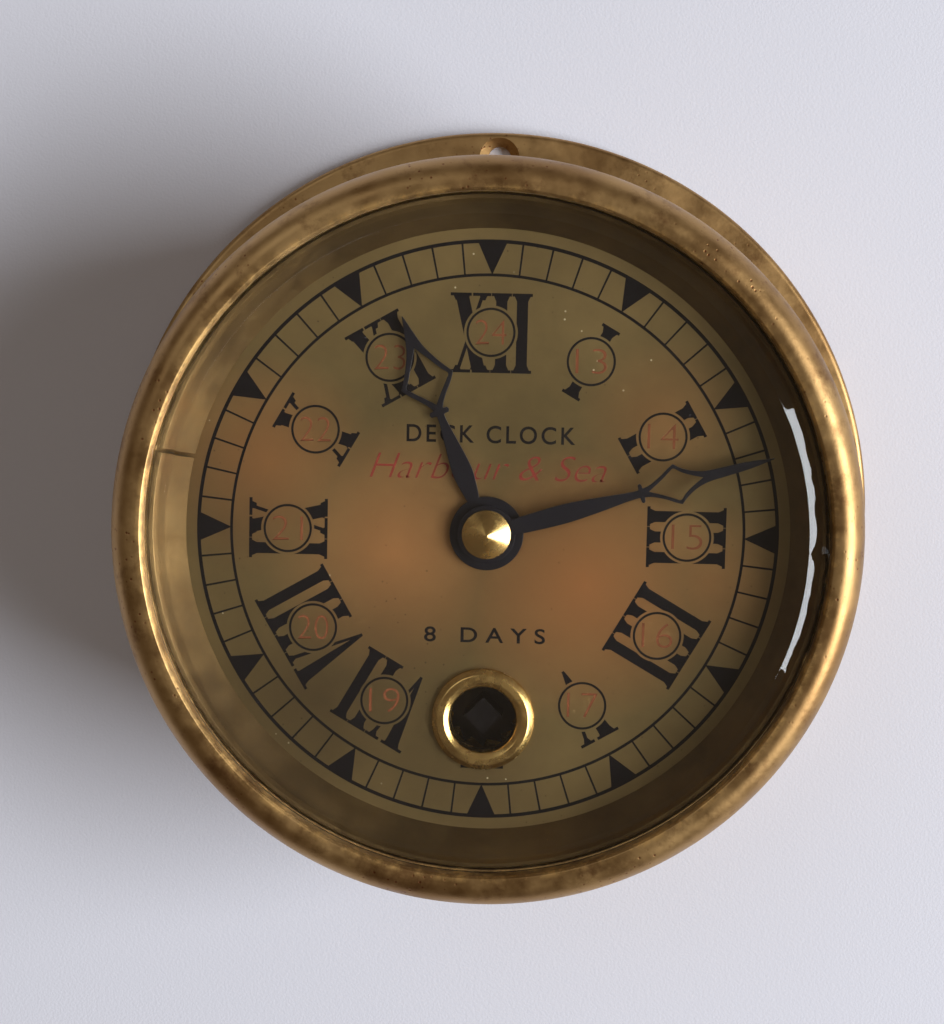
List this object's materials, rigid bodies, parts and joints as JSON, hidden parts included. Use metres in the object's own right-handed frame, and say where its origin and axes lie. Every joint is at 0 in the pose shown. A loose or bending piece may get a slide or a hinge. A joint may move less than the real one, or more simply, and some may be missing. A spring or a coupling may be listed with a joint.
{
  "type": "ships deck clock",
  "caption": "Round brass ship's deck clock with a screwed bezel, bevelled glass, 24-hour Roman dial, pierced black hands and an eight-day wound lever movement.",
  "frame": {"origin": "centre of the flange's back face, on the axis of the case", "axes": "+Z out of the dial, +Y to twelve o'clock, +X to three o'clock; the clock lies on its back"},
  "size_m": [0.116, 0.116, 0.0426],
  "materials": {
    "aged_brass": "worn, toned brown with brighter edges",
    "dial_brass": "aged matt brass, printed in black",
    "brass": "polished",
    "steel": "polished steel",
    "black_hands": "black",
    "gasket_rubber": "matt",
    "glass": "clear, with a bevelled edge"
  },
  "bodies": {
    "case": {"case_body": "aged_brass", "rear_cover": "aged_brass", "dial_surround": "aged_brass", "dial": "dial_brass", "winding_grommet": "brass", "back_plate": "brass", "front_plate": "brass", "pillar_1": "brass", "pillar_2": "brass", "pillar_3": "brass", "pillar_4": "brass", "balance_cock": "brass", "cover_screw_1": "steel", "cover_screw_2": "steel", "cover_screw_3": "steel", "dial_foot_pin_1": "steel", "dial_foot_pin_2": "steel", "dial_foot_pin_3": "steel", "pillar_screw_1": "steel", "pillar_screw_2": "steel", "pillar_screw_3": "steel", "pillar_screw_4": "steel", "click_screw": "steel", "click_spring_screw": "steel", "hairspring": "steel", "balance_cock_screw": "steel"},
    "barrel": {"barrel_drum": "brass", "barrel_cap": "brass", "mainspring": "steel"},
    "winding_arbor": {"barrel_arbor": "steel", "ratchet_wheel": "steel"},
    "click_lever": {"click": "steel"},
    "click_spring_blade": {"click_spring": "steel"},
    "intermediate": {"intermediate_arbor": "steel", "intermediate_wheel": "brass"},
    "centre": {"centre_arbor": "steel", "centre_wheel": "brass", "cannon_pinion": "steel", "minute_hand": "black_hands", "hand_nut": "brass"},
    "third": {"third_arbor": "steel", "third_wheel": "brass"},
    "fourth": {"fourth_arbor": "steel", "fourth_wheel": "brass"},
    "escape": {"escape_arbor": "steel", "escape_wheel": "steel"},
    "lever": {"pallet_lever": "steel"},
    "balance": {"balance_staff": "steel", "balance_wheel": "brass"},
    "minute_motion": {"minute_wheel": "brass"},
    "hour_motion": {"hour_wheel": "brass", "hour_hand": "black_hands"},
    "bezel_seal": {"bezel_gasket": "gasket_rubber"},
    "bezel_ring": {"bezel": "aged_brass", "glass": "glass", "glass_gasket": "gasket_rubber", "glass_retaining_ring": "brass"}
  },
  "joints": [
    {"name": "minute_hand_turn", "type": "hinge", "parent": "case", "child": "centre", "pos_m": [0, 0, 0.02], "axis": [0, 0, -1], "continuous": true},
    {"name": "hour_hand_turn", "type": "hinge", "parent": "case", "child": "hour_motion", "pos_m": [0, 0, 0.02], "axis": [0, 0, -1], "continuous": true},
    {"name": "minute_wheel_turn", "type": "hinge", "parent": "case", "child": "minute_motion", "pos_m": [0.00613, 0.00514, 0.02], "axis": [0, 0, -1], "continuous": true},
    {"name": "barrel_turn", "type": "hinge", "parent": "case", "child": "barrel", "pos_m": [0, -0.0264, 0.02], "axis": [0, 0, -1], "continuous": true},
    {"name": "intermediate_wheel_turn", "type": "hinge", "parent": "case", "child": "intermediate", "pos_m": [-0.00255, -0.01121, 0.02], "axis": [0, 0, -1], "continuous": true},
    {"name": "third_wheel_turn", "type": "hinge", "parent": "case", "child": "third", "pos_m": [-0.00928, 0.00536, 0.02], "axis": [0, 0, -1], "continuous": true},
    {"name": "fourth_wheel_turn", "type": "hinge", "parent": "case", "child": "fourth", "pos_m": [-0.00244, 0.01069, 0.02], "axis": [0, 0, -1], "continuous": true},
    {"name": "escape_wheel_turn", "type": "hinge", "parent": "case", "child": "escape", "pos_m": [0.00558, 0.00957, 0.02], "axis": [0, 0, -1], "continuous": true},
    {"name": "winding_arbor_turn", "type": "hinge", "parent": "case", "child": "winding_arbor", "pos_m": [0, -0.0264, 0.026], "axis": [0, 0, -1], "continuous": true},
    {"name": "click_lift", "type": "hinge", "parent": "case", "child": "click_lever", "pos_m": [-0.00173, -0.01742, 0.026], "axis": [0, 0, 1], "range_deg": [0, 10]},
    {"name": "click_spring_bend", "type": "hinge", "parent": "case", "child": "click_spring_blade", "pos_m": [0.00188, -0.01309, 0.026], "axis": [0, 0, 1], "range_deg": [0, 7]},
    {"name": "pallet_lever_rock", "type": "hinge", "parent": "case", "child": "lever", "pos_m": [0.00983, 0.01255, 0.015], "axis": [0, 0, 1], "range_deg": [-6, 6]},
    {"name": "balance_swing", "type": "hinge", "parent": "case", "child": "balance", "pos_m": [0.01688, 0.01748, 0.018], "axis": [0, 0, 1], "range_deg": [-180, 360]},
    {"name": "bezel_lift_off", "type": "slide", "parent": "case", "child": "bezel_seal", "axis": [0, 0, 1], "range_m": [0, 0.06]},
    {"name": "bezel_unscrew", "type": "hinge", "parent": "bezel_seal", "child": "bezel_ring", "pos_m": [0, 0, 0.037], "axis": [0, 0, 1], "range_deg": [0, 1080]}
  ],
  "couplings": [
    {"joint": "hour_hand_turn", "follows": "minute_hand_turn", "ratio": 0.083333},
    {"joint": "minute_wheel_turn", "follows": "minute_hand_turn", "ratio": -0.33333},
    {"joint": "barrel_turn", "follows": "minute_hand_turn", "ratio": 0.041667},
    {"joint": "intermediate_wheel_turn", "follows": "minute_hand_turn", "ratio": -0.25},
    {"joint": "third_wheel_turn", "follows": "minute_hand_turn", "ratio": -8},
    {"joint": "fourth_wheel_turn", "follows": "minute_hand_turn", "ratio": 60},
    {"joint": "escape_wheel_turn", "follows": "minute_hand_turn", "ratio": -480},
    {"joint": "click_spring_bend", "follows": "click_lift", "ratio": 0.6}
  ]
}
